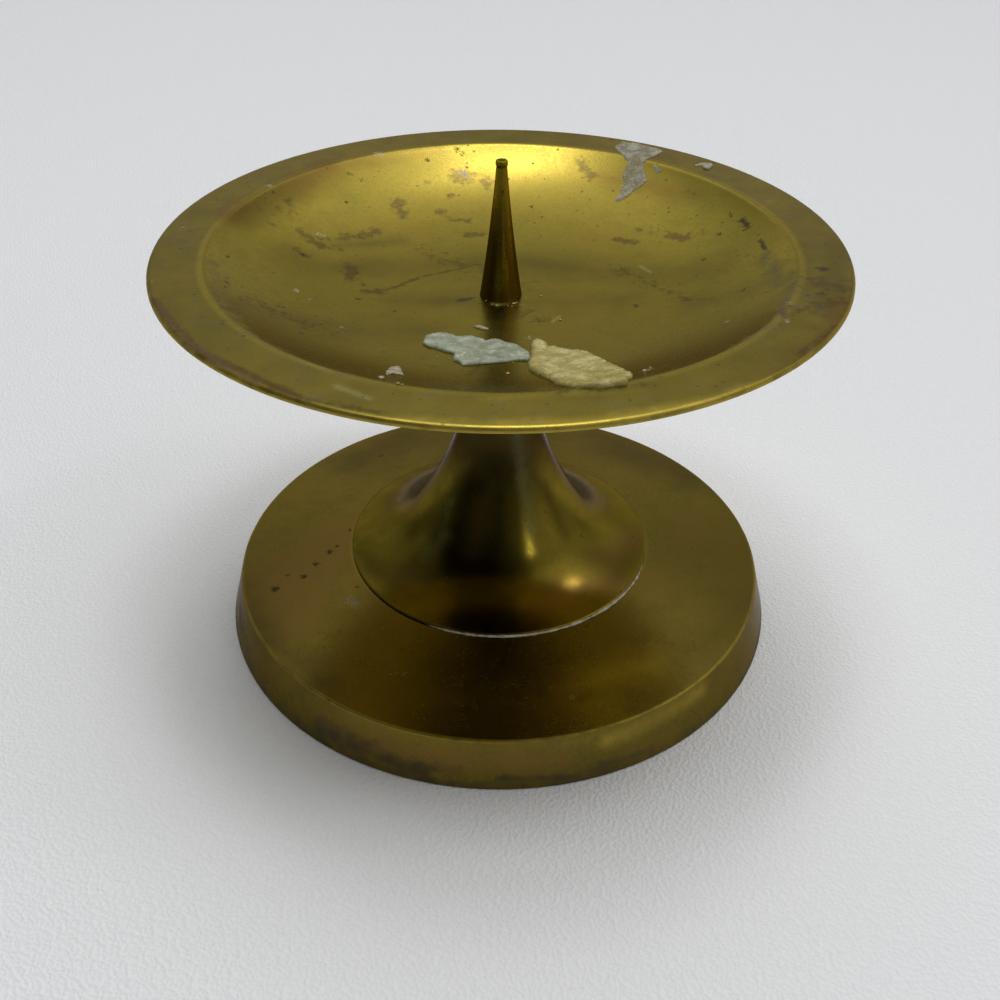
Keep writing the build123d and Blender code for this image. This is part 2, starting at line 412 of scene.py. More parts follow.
def aged_brass(
    piece,
    name,
    metal,
    rim_light,
    film=0.7,
    brown=0.3,
    roughness=0.25,
    pitted=0.3,
    painted_shade_tint=(0.44, 0.48, 0.73, 1),
    wear_and_highlight=0.7,
):
    """Turned brass with a cloudy film of tarnish, brown patches, pits and bright worn edges, and
    with the marks whose fields the piece carries, among them painted shade, which dulls the
    metal darker, and painted highlights, which brighten it."""
    made, tree, surface = new_material(name)
    piece.data.materials.append(made)

    def marked(field, grain, raggedness, softness):
        """How far the marks of this field cover the surface, with borders of this kind."""
        if field not in piece.data.attributes:
            return 0.0
        border = {"Grain": grain, "Raggedness": raggedness, "Softness": softness}
        return used(tree, stain, Field=carried(tree, field), **border)[0]

    def tinted(kept):
        return [share * part for share, part in zip(metal, kept)]

    wide = used(tree, clouds, Scale=38, Low=0.35, High=0.68, Seed=1.0)[0]
    fine = used(tree, clouds, Scale=260, Low=0.35, High=0.70, Seed=4.0)[0]
    mottled = used(tree, clouds, Scale=1300, Low=0.30, High=0.75, Seed=9.0)[0]
    small_pits = used(tree, pits, Scale=800, Size=0.36, Share=pitted)[0]
    specks = used(tree, pits, Scale=260, Size=0.22, Share=pitted * 0.5)[0]
    lines = used(tree, scratches, Scale=45, Stretch=40, Share=0.08)[0]
    filmed = weighed(tree, (wide, 0.35 * film), (fine, 0.3 * film), (mottled, 0.45 * film))
    colour = coat(tree, filmed, metal, tinted(olive_film))
    # painted shade: wherever the piece carries painted shade, the metal is dulled darker
    painted_shade = marked("painted_shade", 110, 0.7, 0.9)
    colour = coat(tree, product(tree, painted_shade, 0.95), colour, tinted(painted_shade_tint))
    warm = marked("warm", 120, 0.6, 0.8)
    patchy = eased(tree, wide, 0.9, 0.1, 0.0, brown)
    colour = coat(tree, weighed(tree, (patchy, 1.0), (warm, 0.75)), colour, brown_film)
    # grey grime, which on the pan's rim and the base's side is also painted shade
    grime_and_shade = marked("grime_and_shade", 300, 1.6, 0.8)
    colour = coat(tree, product(tree, grime_and_shade, 0.7), colour, grey_grime_and_shade)
    smudges = marked("smudges", 700, 2.2, 0.7)
    colour = coat(tree, product(tree, smudges, 0.6), colour, smudge_brown)
    spots = marked("spots", 1500, 1.8, 0.6)
    dark = larger(tree, product(tree, small_pits, 0.5), product(tree, specks, 0.8))
    dark = larger(tree, dark, product(tree, spots, 0.85))
    colour = coat(tree, dark, colour, dark_stain)
    smears = marked("smears", 260, 0.5, 1.0)
    colour = coat(tree, product(tree, smears, 0.4), colour, pale_smear)
    bloom = marked("bloom", 2200, 2.4, 0.8)
    colour = coat(tree, product(tree, bloom, 0.7), colour, white_bloom)
    # cleaner brass under the pan, partly a painted reflection
    if "clean_underside_sheen" in piece.data.attributes:
        clean_underside_sheen = product(tree, carried(tree, "clean_underside_sheen"), 0.35)
        colour = coat(tree, clean_underside_sheen, colour, clean_brass)
    edge = carried(tree, "edge")
    worn = product(tree, eased(tree, edge, 0.1, 0.9), eased(tree, fine, 1.0, 0.2, 0.4, 1.0))
    # painted highlights, partly polish: rows of brighter metal where highlights fall
    polish_and_highlight = marked("polish_and_highlight", 300, 0.4, 1.0)
    bright = larger(tree, worn, weighed(tree, (lines, 0.5), (polish_and_highlight, 1.5)))
    rubbed_and_highlit = tinted([rubbed_and_highlit_gain] * 3 + [1])
    colour = coat(tree, product(tree, bright, wear_and_highlight), colour, rubbed_and_highlit)

    covered = larger(tree, larger(tree, larger(tree, dark, bloom), grime_and_shade), smears)
    rough = weighed(tree, (roughness, 1.0), (filmed, 0.12), (covered, 0.3), (edge, 0.25))
    rings = used(tree, turning_rings)[0]
    height = weighed(tree, (rings, 1.0), (small_pits, -0.5), (specks, -0.8))
    supply(tree, surface, {
        "Base Color": colour,
        "Specular Tint": rim_light,
        "Metallic": eased(tree, covered, 0.0, 1.0, 1.0, 0.6),
        "Roughness": rough,
        "Normal": dent(tree, height, 0.6, 0.000004),
    })


base_foot = turned(
    "base_foot",
    outline(
        [
            (base_radius, 0, base_foot_round, shown_step),
            (base_top_radius, base_edge_height, base_edge_round, shown_step),
            (base_seat_radius, base_seat_height, 0, shown_step),
            (register_radius, base_seat_height),
            (register_radius, base_high.z),
            (rod_hole_radius, base_high.z),
            (rod_hole_radius, boss_face),
            (boss_radius, boss_face),
            (boss_radius, base_seat_height - base_wall),
            (base_seat_radius, base_seat_height - base_wall),
            (base_top_radius - base_wall, base_edge_height - base_wall, hollow_round, hidden_step),
            (base_radius - foot_ring_width, 0),
        ]
    ),
    worn_edges=[(base_top_radius, base_edge_height)],
    wear_reach=0.00055,
)
mark(base_foot, "spots", [
    (275, 589, 1.1, 1.0), (304, 577, 0.9, 1.0), (287, 575, 0.5, 0.9), (316, 564, 0.8, 1.0),
    (330, 552, 0.9, 1.0), (338, 546, 0.6, 0.9), (350, 530, 0.6, 0.9), (357, 587, 0.5, 0.7),
    (381, 456, 0.7, 0.9), (677, 492, 0.5, 0.8), (573, 697, 0.7, 0.9), (600, 706, 0.5, 0.8),
    (608, 715, 0.5, 0.8), (586, 626, 0.4, 0.7), (536, 644, 0.4, 0.7),
])
mark(base_foot, "warm", [
    (285, 585, 350, 535, 14.0, 1.0), (300, 620, 360, 520, 9.0, 0.7), (320, 722, 430, 758, 4.0, 0.7),
    (430, 758, 560, 760, 4.0, 0.8), (690, 520, 650, 590, 8.0, 0.4), (450, 682, 1.9, 1.0),
    (645, 705, 1.4, 0.8),
])
# painted highlights: brighter metal on the front of the base's top and along its front right edge
mark(base_foot, "polish_and_highlight", [
    (606, 741, 702, 690, 3.2, 0.65), (560, 745, 640, 722, 2.5, 0.3),
    (440, 700, 600, 705, 10.0, 0.5), (560, 690, 650, 665, 8.0, 0.6),
])
# painted shade: darker dulled patches on the base's left, right and back
mark(base_foot, "painted_shade", [
    (250, 590, 270, 640, 9.0, 0.8), (270, 640, 330, 690, 7.0, 0.6), (700, 660, 745, 600, 9.0, 0.4),
    (360, 460, 405, 440, 14.0, 0.8), (615, 445, 680, 470, 14.0, 0.9),
])
mark(base_foot, "bloom", [
    (394, 674, 0.4, 0.9), (405, 673, 0.4, 0.9), (350, 600, 356, 604, 1.2, 0.5),
])
mark(base_foot, "grime_and_shade", [
    (500, 778, 571, 777, 1.2, 0.9), (600, 765, 651, 750, 1.2, 0.7), (291, 697, 1.2, 0.7),
    (320, 728, 420, 768, 3.4, 0.85), (430, 768, 600, 768, 2.2, 0.6), (240, 620, 262, 690, 4.0, 0.5),
    (262, 690, 330, 735, 3.0, 0.5),
], ground=np.clip(1 - vertex_places(base_foot)[:, 2] / grime_height, 0, foot_grime))
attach(base_foot, "root")
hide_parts("base")
aged_brass(
    base_foot,
    "base_brass",
    base_brass,
    (0.68, 0.62, 0.55, 1),
    film=0.7,
    brown=0.15,
    roughness=0.22,
    pitted=0.02,
    wear_and_highlight=0.9,
)

# Stem
# The column between base and pan: a trumpet of brass, turned and bored hollow, that flares from a
# narrow waist to a thin round foot. It stands over a raised disc of the base that centres it.
stem_low, stem_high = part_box("stem")
stem_foot_radius = stem_high.x
stem_foot_edge = 0.00045
stem_foot_slope = math.radians(12)
stem_wall = 0.0022
waist_radius = 0.0060
collar_drop = 0.0104
waist_height = stem_high.z - collar_drop
upper_flare = 0.05736
lower_flare = 0.02212
flare_join = math.radians(36)
collar_radius = 0.0105
collar_edge = 0.0008
recess_radius = 0.0255
recess_height = 0.0010
core_rise = 0.0020
core_top = waist_height + core_rise
# sizes of the painted shade on the stem
neck_shade_start = 0.026
neck_shade_fade = 0.014
front_shade_middle = -0.0035
front_shade_width = 0.0075
front_shade_fade = 0.025
front_shade_most = 1.3
front_shade_least = 0.7
left_shade = 0.3


def arc(start, heading, radius, turn, step):
    """Corners of an outline along an arc that leaves start at the angle heading and turns left,
    or right where turn is negative."""
    side = math.copysign(radius, turn)
    centre = Vector(start) + Vector((-math.sin(heading), math.cos(heading))) * side
    count = max(2, math.ceil(radius * abs(turn) / step))
    corners = []
    for i in range(count + 1):
        angle = heading + turn * i / count
        corners.append(
            (centre.x + side * math.sin(angle), centre.y - side * math.cos(angle), 0, step)
        )
    return corners


downward = -math.pi / 2
lower_turn = math.pi / 2 - stem_foot_slope - flare_join
upper = arc((waist_radius, waist_height), downward, upper_flare, flare_join, shown_step)
lower = arc(upper[-1][:2], downward + flare_join, lower_flare, lower_turn, shown_step)
core_start = (waist_radius - stem_wall, waist_height)
core_upper = arc(core_start, downward, upper_flare + stem_wall, flare_join, hidden_step)
core_lower = arc(
    core_upper[-1][:2], downward + flare_join, lower_flare + stem_wall, lower_turn, shown_step
)
core_lower = [c for c in core_lower if c[1] > stem_low.z + recess_height]
collar_turn = 2 * math.atan2(collar_radius - waist_radius, stem_high.z - collar_edge - waist_height)
collar_arc_radius = (collar_radius - waist_radius) / (1 - math.cos(collar_turn))
collar = arc(
    (waist_radius, waist_height), math.pi / 2, collar_arc_radius, -collar_turn, shown_step
)
trumpet_stem = turned(
    "trumpet_stem",
    outline(
        [(stem_foot_radius, stem_low.z, 0, shown_step)]
        + lower[::-1]
        + upper[-2::-1]
        + collar[1:]
        + [
            (collar_radius, stem_high.z),
            (rod_hole_radius, stem_high.z),
            (rod_hole_radius, core_top),
            (waist_radius - stem_wall, core_top),
        ]
        + core_upper
        + core_lower[1:]
        + [
            (core_lower[-1][0], stem_low.z + recess_height),
            (recess_radius, stem_low.z + recess_height),
            (recess_radius, stem_low.z),
        ]
    ),
    worn_edges=[(stem_foot_radius, stem_low.z + stem_foot_edge)],
    wear_reach=0.0005,
    sides=360,
)
# painted shade: the stem's neck, the middle of its front and its left side are dulled darker, standing
# in for the dark things that they reflect
x, y, z = vertex_places(trumpet_stem).T
neck_shade = np.clip((z - neck_shade_start) / neck_shade_fade, 0, 1)
front_shade = np.exp(-(((x - front_shade_middle) / front_shade_width) ** 2)) * (y < 0)
risen = (z - stem_low.z) / front_shade_fade
front_shade *= np.clip(front_shade_most - risen, front_shade_least, 1)
stem_painted_shade = np.max([neck_shade, front_shade, left_shade * (x < 0)], axis=0)
set_field(trumpet_stem, "painted_shade", stem_painted_shade)
mark(trumpet_stem, "spots", [
    (510, 531, 0.5, 0.7), (460, 586, 0.5, 0.7), (545, 512, 0.3, 0.7), (421, 548, 0.3, 0.6),
])
mark(trumpet_stem, "smears", [
    (518, 436, 526, 500, 3.2, 0.50), (526, 500, 531, 530, 2.6, 0.50),
    (452, 500, 440, 540, 3.0, 0.35), (446, 535, 424, 558, 3.0, 0.55),
])
mark(trumpet_stem, "warm", [
    (480, 505, 474, 556, 4.5, 0.5), (540, 605, 620, 582, 6.0, 0.9), (600, 560, 640, 535, 6.0, 0.7),
    (400, 575, 440, 605, 5.0, 0.5),
])
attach(trumpet_stem, "root")
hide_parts("stem")
stem_brass = (0.228, 0.165, 0.017, 1)
aged_brass(
    trumpet_stem,
    "stem_brass",
    stem_brass,
    (0.52, 0.48, 0.50, 1),
    brown=0.1,
    roughness=0.17,
    pitted=0.08,
    painted_shade_tint=(0.13, 0.125, 0.32, 1),
    wear_and_highlight=0.2,
)

# Polish in the seam
# White polish that has dried in the corner between the stem's foot and the base: a thin chalky
# bead along the front and the right of the seam, which almost fades out here and there.
seam_left = (428, 622)
seam_right = (651, 566)
bead_width = 0.00030
bead_steps = 900
lumps_per_radian = 28
gaps_per_radian = 9
end_taper = 12
least_bead = 0.02
bead_profile = ((0.0, 1.3), (0.45, 1.0), (0.85, 0.5), (1.0, 0.0))


def seam_angle(pixel):
    place = sight(pixel, base_foot)
    return math.atan2(place.y, place.x)


first, last = seam_angle(seam_left), seam_angle(seam_right)
build = bmesh.new()
sections = []
for i in range(bead_steps + 1):
    share = i / bead_steps
    angle = first + (last - first) * share
    lumps = noise.fractal(Vector((angle * lumps_per_radian, 0, 3.7)), 1.0, 2.0, 4)
    gaps = noise.noise(Vector((angle * gaps_per_radian, 5.1, 0)))
    ends = min(1, share * end_taper, (1 - share) * end_taper)
    width = bead_width * max(0, min(1.2, 0.85 + 0.4 * lumps + 0.5 * gaps)) * ends
    width = max(width, bead_width * least_bead)
    section = [
        (stem_foot_radius + out * width, base_seat_height + up * width) for out, up in bead_profile
    ]
    section.append((stem_foot_radius - width * 0.1, base_seat_height))
    sections.append(
        [build.verts.new((r * math.cos(angle), r * math.sin(angle), z)) for r, z in section]
    )
for here, after in zip(sections, sections[1:]):
    for i in range(len(here)):
        j = (i + 1) % len(here)
        build.faces.new((here[i], after[i], after[j], here[j])).smooth = True
build.faces.new(sections[0])
build.faces.new(sections[-1][::-1])
bmesh.ops.recalc_face_normals(build, faces=build.faces)
seam_polish = new_piece("seam_polish", build)
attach(seam_polish, "root")
chalk, tree, surface = new_material("dried_polish")
seam_polish.data.materials.append(chalk)
soiled = used(tree, clouds, Scale=700, Low=0.35, High=0.7, Seed=2.0)[0]
colour = coat(tree, soiled, (0.86, 0.85, 0.76, 1), (0.52, 0.50, 0.40, 1))
lumpy = used(tree, clouds, Scale=2600, Low=0.3, High=0.7, Seed=6.0)[0]
supply(tree, surface, {
    "Base Color": colour,
    "Roughness": weighed(tree, (0.8, 1.0), (soiled, 0.15)),
    "Normal": dent(tree, lumpy, 0.7, 0.00005),
})

# Drip pan
# A shallow dish of brass with a broad flat rim, which catches the wax. Its floor is turned to a
# hollow in two arcs, its outer edge is thin and rounded, and its metal is pitted where wax and
# damp have lain on it.
pan_low, pan_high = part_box("drip_pan")
pan_radius = pan_high.x
rim_height = pan_high.z
pan_wall = 0.0020
pan_floor = pan_low.z + pan_wall
rim_width = 0.0088
rim_inner_radius = pan_radius - rim_width
rim_edge_thickness = 0.0010
rim_round = 0.00075
rim_under_round = 0.0002
shoulder_round = 0.0016
dish_floor_arc = 0.1137
dish_wall_arc = 0.0507
floor_radius = 0.0110
floor_turn = math.radians(10)
wall_turn = math.radians(34)
rim_fade = 0.0010
outer_band_start = 0.0500
outer_band_fade = 0.002
rim_painted_shade = 0.33
rim_grime_and_shade = 0.15

dish = arc((floor_radius, pan_floor), 0, dish_floor_arc, floor_turn, shown_step)
dish += arc(dish[-1][:2], floor_turn, dish_wall_arc, wall_turn - floor_turn, shown_step)[1:]
dish += arc(dish[-1][:2], wall_turn, shoulder_round, -wall_turn, shoulder_round / 6)[1:]
below = arc((floor_radius, pan_low.z), 0, dish_floor_arc + pan_wall, floor_turn, hidden_step)
below += arc(
    below[-1][:2], floor_turn, dish_wall_arc + pan_wall, wall_turn - floor_turn, hidden_step
)[1:]
below += arc(below[-1][:2], wall_turn, shoulder_round + pan_wall, -wall_turn, shown_step)[1:]
drip_dish = turned(
    "drip_dish",
    outline(
        [(rod_hole_radius, pan_floor)]
        + dish
        + [
            (pan_radius, rim_height, rim_round, shown_step),
            (pan_radius, rim_height - rim_edge_thickness, rim_under_round, shown_step),
        ]
        + below[::-1]
        + [(rod_hole_radius, pan_low.z)]
    ),
    worn_edges=[(pan_radius, rim_height - rim_round / 2)],
)
places = vertex_places(drip_dish)
reach = np.hypot(places[:, 0], places[:, 1])
on_rim = np.clip((reach - rim_inner_radius) / rim_fade, 0, 1)
facing = np.array([corner.normal.z for corner in drip_dish.data.vertices])
outer_band = np.clip((reach - outer_band_start) / outer_band_fade, 0.6, 1)
# the underside of the pan is cleaner brass, brightest near the rim: partly the pan's own colour
# there and partly painted light, which brightens the reflection of the rim that the stem's foot shows
set_field(drip_dish, "clean_underside_sheen", np.clip(-2 * facing, 0, 1) * outer_band)
# painted shade: parts of the dish and the whole rim are dulled darker, the rim more so towards its
# left and right ends
mark(drip_dish, "painted_shade", [
    (300, 262, 480, 262, 9.0, 0.6), (230, 300, 420, 330, 10.0, 0.5),
    (520, 262, 720, 268, 10.0, 0.6), (400, 300, 620, 300, 9.0, 0.5), (700, 300, 770, 280, 8.0, 0.6),
    (330, 246, 400, 240, 4.0, 0.6), (838, 245, 830, 315, 7.0, 1.0),
], ground=on_rim * rim_painted_shade * (1 + abs(places[:, 0]) / pan_radius))
mark(drip_dish, "spots", [
    (479, 300, 483, 302, 0.6, 1.0), (487, 297, 0.4, 1.0), (273, 192, 0.5, 0.9),
    (268, 222, 275, 226, 0.6, 0.9), (303, 255, 1.0, 0.9), (277, 306, 283, 307, 0.7, 0.8),
    (357, 299, 359, 299, 0.6, 0.8), (394, 311, 395, 311, 0.5, 0.8), (226, 256, 228, 257, 0.6, 0.8),
    (225, 287, 226, 287, 0.5, 0.8), (350, 174, 0.6, 0.8), (362, 180, 0.6, 0.8),
    (457, 150, 0.8, 0.7), (463, 154, 0.6, 0.7), (427, 160, 0.8, 0.8), (453, 289, 0.5, 1.0),
    (461, 300, 466, 301, 0.9, 1.0), (471, 298, 473, 299, 0.5, 1.0), (742, 220, 748, 226, 0.9, 0.9),
    (744, 230, 0.5, 0.9), (731, 216, 0.6, 0.8), (730, 213, 0.4, 0.8),
    (760, 240, 765, 249, 0.6, 0.8), (720, 234, 0.6, 0.8), (704, 259, 0.6, 0.9),
    (697, 247, 0.5, 0.8), (743, 290, 0.6, 0.8), (767, 292, 0.5, 0.8), (744, 315, 0.5, 0.7),
    (635, 305, 637, 307, 0.6, 0.8), (531, 207, 0.7, 0.7), (543, 217, 0.5, 0.7),
    (590, 182, 0.6, 0.7), (820, 269, 826, 269, 1.1, 0.9), (820, 294, 822, 294, 0.9, 0.8),
    (680, 284, 0.5, 0.8), (430, 366, 432, 366, 0.5, 0.8), (300, 333, 302, 333, 0.6, 0.8),
    (475, 383, 476, 383, 0.5, 0.8), (570, 352, 571, 352, 0.4, 0.8),
])
mark(drip_dish, "smudges", [
    (397, 203, 398, 206, 2.4, 0.9), (402, 212, 404, 216, 1.9, 0.8), (459, 176, 466, 177, 2.8, 1.0),
    (486, 181, 487, 184, 2.0, 0.9), (440, 212, 441, 212, 1.9, 0.7), (451, 196, 1.3, 0.7),
    (425, 182, 426, 182, 1.2, 0.8), (452, 220, 469, 221, 1.1, 0.9), (466, 235, 480, 234, 1.5, 0.9),
    (289, 202, 1.4, 0.5), (300, 231, 322, 247, 1.5, 1.0), (322, 247, 340, 249, 1.2, 0.6),
    (298, 250, 306, 256, 1.2, 0.9), (306, 238, 345, 239, 1.0, 0.6), (345, 238, 378, 231, 1.7, 0.7),
    (350, 268, 350, 279, 2.0, 0.9), (364, 291, 381, 292, 1.5, 0.9), (381, 291, 396, 287, 0.8, 0.8),
    (396, 287, 420, 277, 0.6, 0.9), (420, 277, 480, 264, 0.5, 0.8), (362, 284, 364, 285, 1.0, 0.8),
    (361, 238, 364, 238, 0.9, 0.8), (580, 163, 592, 176, 1.6, 0.8), (618, 239, 634, 243, 1.3, 1.0),
    (670, 236, 685, 238, 1.7, 1.0), (812, 283, 836, 286, 3.2, 0.8), (788, 312, 842, 301, 2.6, 0.6),
    (537, 309, 1.2, 0.7), (500, 358, 470, 372, 2.0, 0.5), (500, 310, 540, 318, 2.4, 0.5),
    (640, 384, 560, 392, 1.0, 0.4), (620, 270, 690, 300, 2.0, 0.4), (250, 300, 330, 330, 3.0, 0.4),
    (640, 230, 700, 234, 1.6, 0.3), (420, 250, 520, 285, 3.0, 0.3), (262, 205, 300, 215, 2.0, 0.35),
    (152, 300, 200, 352, 1.1, 0.9), (200, 352, 300, 398, 1.1, 0.9), (300, 398, 380, 413, 0.9, 0.7),
    (836, 326, 800, 354, 1.0, 0.7),
])
# grime and painted shade: a grey darkening over the whole rim and in runs along its outer left and
# right parts
mark(drip_dish, "grime_and_shade", [
    (765, 258, 790, 285, 3.0, 0.5), (790, 285, 782, 318, 3.2, 0.55),
    (782, 318, 740, 345, 2.6, 0.45), (214, 262, 220, 300, 2.4, 0.45),
    (220, 300, 250, 335, 2.8, 0.5), (250, 335, 310, 368, 2.6, 0.45), (310, 368, 430, 396, 2.0, 0.4),
    (590, 392, 700, 366, 2.0, 0.35), (150, 300, 190, 345, 1.6, 0.6), (190, 345, 260, 385, 1.6, 0.6),
], ground=rim_grime_and_shade * on_rim)
mark(drip_dish, "warm", [
    (840, 300, 835, 330, 3.0, 0.8), (835, 330, 800, 352, 2.4, 0.8), (152, 300, 200, 352, 1.6, 0.9),
    (200, 352, 300, 398, 1.4, 0.9), (230, 215, 330, 165, 6.0, 0.8), (330, 165, 440, 150, 4.0, 0.5),
    (600, 175, 700, 195, 5.0, 0.5),
])
mark(drip_dish, "smears", [
    (335, 386, 368, 398, 1.4, 0.8), (300, 360, 330, 372, 1.2, 0.5), (640, 266, 652, 273, 0.6, 0.8),
    (552, 322, 560, 316, 0.5, 0.9), (490, 304, 520, 304, 1.0, 0.9), (766, 250, 782, 300, 1.6, 0.4),
])
# painted highlights: brighter metal along the front edge of the rim and in a patch at the pan's back
# left
mark(drip_dish, "polish_and_highlight", [
    (400, 419, 500, 424, 2.2, 0.5), (500, 424, 600, 420, 2.2, 0.7), (600, 420, 700, 402, 2.2, 0.7),
    (700, 402, 760, 383, 1.6, 0.5), (480, 399, 640, 391, 1.6, 0.3), (245, 240, 320, 205, 8.0, 0.4),
])
mark(drip_dish, "bloom", [
    (462, 172, 466, 175, 1.0, 0.6), (183, 228, 0.5, 0.9), (296, 290, 297, 291, 0.6, 0.9),
    (341, 327, 0.5, 0.9), (310, 299, 0.4, 0.8), (728, 321, 0.5, 0.9),
    (528, 338, 529, 338, 0.5, 0.8), (644, 371, 650, 369, 0.7, 0.8), (152, 281, 0.4, 0.8),
    (376, 153, 381, 154, 0.8, 0.7), (268, 185, 270, 186, 0.6, 0.8), (318, 234, 324, 235, 0.5, 0.7),
    (788, 302, 790, 303, 0.5, 0.6), (786, 320, 787, 321, 0.6, 0.7),
])
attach(drip_dish, "root")
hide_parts("drip_pan")
pan_brass = (0.365, 0.275, 0.043, 1)
aged_brass(
    drip_dish,
    "pan_brass",
    pan_brass,
    (0.76, 0.70, 0.60, 1),
    brown=0.12,
    roughness=0.23,
    pitted=0.35,
    wear_and_highlight=0.45,
)

# Spike
# The pricket that holds the candle: a slender brass cone with slightly hollow sides and a blunt
# tip, a little wider than its neck. It is screwed down on the rod and stands on the pan's floor.
spike_low, spike_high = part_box("pricket_spike")
spike_radius = spike_high.x
neck_radius = 0.00092
tip_radius = 0.00103
tip_height = 0.0010
tip_round = 0.0002
spike_hollow = 0.00022
thread_radius = 0.00205
thread_depth = 0.0050
side_steps = 24
side = []
for i in range(side_steps + 1):
    share = i / side_steps
    reach = spike_radius + (neck_radius - spike_radius) * share
    reach -= 4 * spike_hollow * share * (1 - share)
    height = spike_low.z + (spike_high.z - tip_height - spike_low.z) * share
    side.append((reach, height, 0, shown_step))
pricket = turned(
    "pricket",
    outline(
        side
        + [
            (tip_radius, spike_high.z - tip_height + tip_round, 0, tip_round),
            (tip_radius, spike_high.z, tip_round, tip_round),
            (0, spike_high.z),
            (0, spike_low.z + thread_depth),
            (thread_radius, spike_low.z + thread_depth),
            (thread_radius, spike_low.z),
        ]
    ),
    worn_edges=[(tip_radius, spike_high.z)],
    sides=96,
)
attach(pricket, "root")
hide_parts("pricket_spike")
spike_brass = (0.23, 0.180, 0.010, 1)
aged_brass(pricket, "spike_brass", spike_brass, (0.50, 0.45, 0.40, 1), film=0.9, brown=0.5)

# Wax
# What candles have left in the pan: two flakes of wax that have broken off, one bluish and one
# yellow, a thin grey run over the rim at the back, and chips and crumbs. Each lies on the metal.
wax_grain = 0.00035
wax_gap = 0.00002
ragged = 0.00008
drop = 0.002
folds_per_metre = 220
least_share = 0.2


def wax_flake(name, border, thickness, crumple, seed):
    """A closed flake that lies on the pan, inside a border given by pixels. Its edge is blunt,
    its top is crumpled, and its field thin is 1 at the border and 0 further in."""
    draw = random.Random(seed)

    def shaken(x, y):
        return x + draw.uniform(-ragged, ragged), y + draw.uniform(-ragged, ragged)

    corners = [sight(pixel, drip_dish) for pixel in border]
    rim = []
    for here, after in zip(corners, corners[1:] + corners[:1]):
        count = max(1, round((after - here).length / wax_grain))
        for i in range(count):
            place = here.lerp(after, i / count)
            rim.append(shaken(place.x, place.y))
    rim = np.array(rim)
    low, high = rim.min(axis=0), rim.max(axis=0)
    across = np.arange(low[0], high[0], wax_grain)
    along = np.arange(low[1], high[1], wax_grain)
    inner = np.array([shaken(x, y) for x in across for y in along])
    after = np.roll(rim, -1, axis=0)
    run = after - rim
    offset = inner[:, None] - rim
    share = np.clip((offset * run).sum(axis=2) / (run * run).sum(axis=1), 0, 1)
    away = np.linalg.norm(offset - share[..., None] * run, axis=2).min(axis=1)
    spans = (rim[:, 1] > inner[:, None, 1]) != (after[:, 1] > inner[:, None, 1])
    with np.errstate(divide="ignore", invalid="ignore"):
        crossing = rim[:, 0] + (inner[:, None, 1] - rim[:, 1]) * run[:, 0] / run[:, 1]
    inside = (spans & (inner[:, None, 0] < crossing)).sum(axis=1) % 2 == 1
    kept = inside & (away > wax_grain * 0.6)
    flat = [Vector(point) for point in np.concatenate([rim, inner[kept]])]
    depth = [0.0] * len(rim) + list(away[kept])
    around = [(i, (i + 1) % len(rim)) for i in range(len(rim))]
    filled = geometry.delaunay_2d_cdt(flat, around, [], 1, 1e-9)
    points, _, triangles, sources = filled[:4]
    build = bmesh.new()
    under, top, thin = [], [], []
    for point, source in zip(points, sources):
        start = Vector((point.x, point.y, pan_high.z + drop))
        _, ground, _, _ = drip_dish.ray_cast(start, Vector((0, 0, -1)))
        inward = min(1, depth[source[0]] / thickness)
        swell = math.sqrt(1 - (1 - inward) ** 2)
        crease = noise.fractal(Vector((*point * folds_per_metre, seed)), 0.9, 2.1, 4)
        rise = thickness * (0.45 + 0.55 * swell + crumple * (0.5 - 2 * abs(crease)))
        rise = max(rise, thickness * least_share)
        under.append(build.verts.new((point.x, point.y, ground.z + wax_gap)))
        top.append(build.verts.new((point.x, point.y, ground.z + wax_gap + rise)))
        thin.append(1 - inward)
    for triangle in triangles:
        build.faces.new([top[i] for i in triangle]).smooth = True
        build.faces.new([under[i] for i in reversed(triangle)]).smooth = True
    placed = {sources[i][0]: i for i in range(len(points))}
    for i, j in around:
        i, j = placed[i], placed[j]
        build.faces.new((under[i], under[j], top[j], top[i])).smooth = True
    bmesh.ops.recalc_face_normals(build, faces=build.faces)
    build.verts.index_update()
    flake = new_piece(name, build)
    set_field(flake, "thin", np.repeat(thin, 2))
    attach(flake, "root")
    return flake


def wax(name, body, bright, clear, clear_edge, soot=0.0, roughness=0.25):
    """Old wax: a cloudy body with bright cracks, a little clear, more so at its edge, and with
    specks of soot."""
    made, tree, surface = new_material(name)
    cloudy = used(tree, clouds, Scale=420, Low=0.38, High=0.66, Seed=3.0)[0]
    cracked = used(tree, clouds, Scale=900, Low=0.56, High=0.74, Seed=8.0)[0]
    colour = coat(tree, weighed(tree, (cloudy, 0.5), (cracked, 0.5)), body, bright)
    sooty = used(tree, pits, Scale=2600, Size=0.45, Share=soot)[0]
    colour = coat(tree, product(tree, sooty, 0.8), colour, dark_stain)
    thin = carried(tree, "thin")
    seen_through = weighed(
        tree, (1.0, clear), (thin, clear_edge), (cloudy, -0.5 * clear), (cracked, -0.3)
    )
    height = weighed(tree, (cloudy, 1.0), (cracked, 0.6))
    supply(tree, surface, {
        "Base Color": colour,
        "Alpha": reckon(tree, "SUBTRACT", 1.0, larger(tree, seen_through, 0.0)),
        "Roughness": weighed(tree, (roughness, 1.0), (cracked, 0.2)),
        "IOR": 1.44,
        "Subsurface Weight": 0.3,
        "Subsurface Scale": 0.0004,
        "Subsurface Radius": (1.0, 0.9, 0.75),
        "Normal": dent(tree, height, 0.5, 0.00010),
    })
    return made


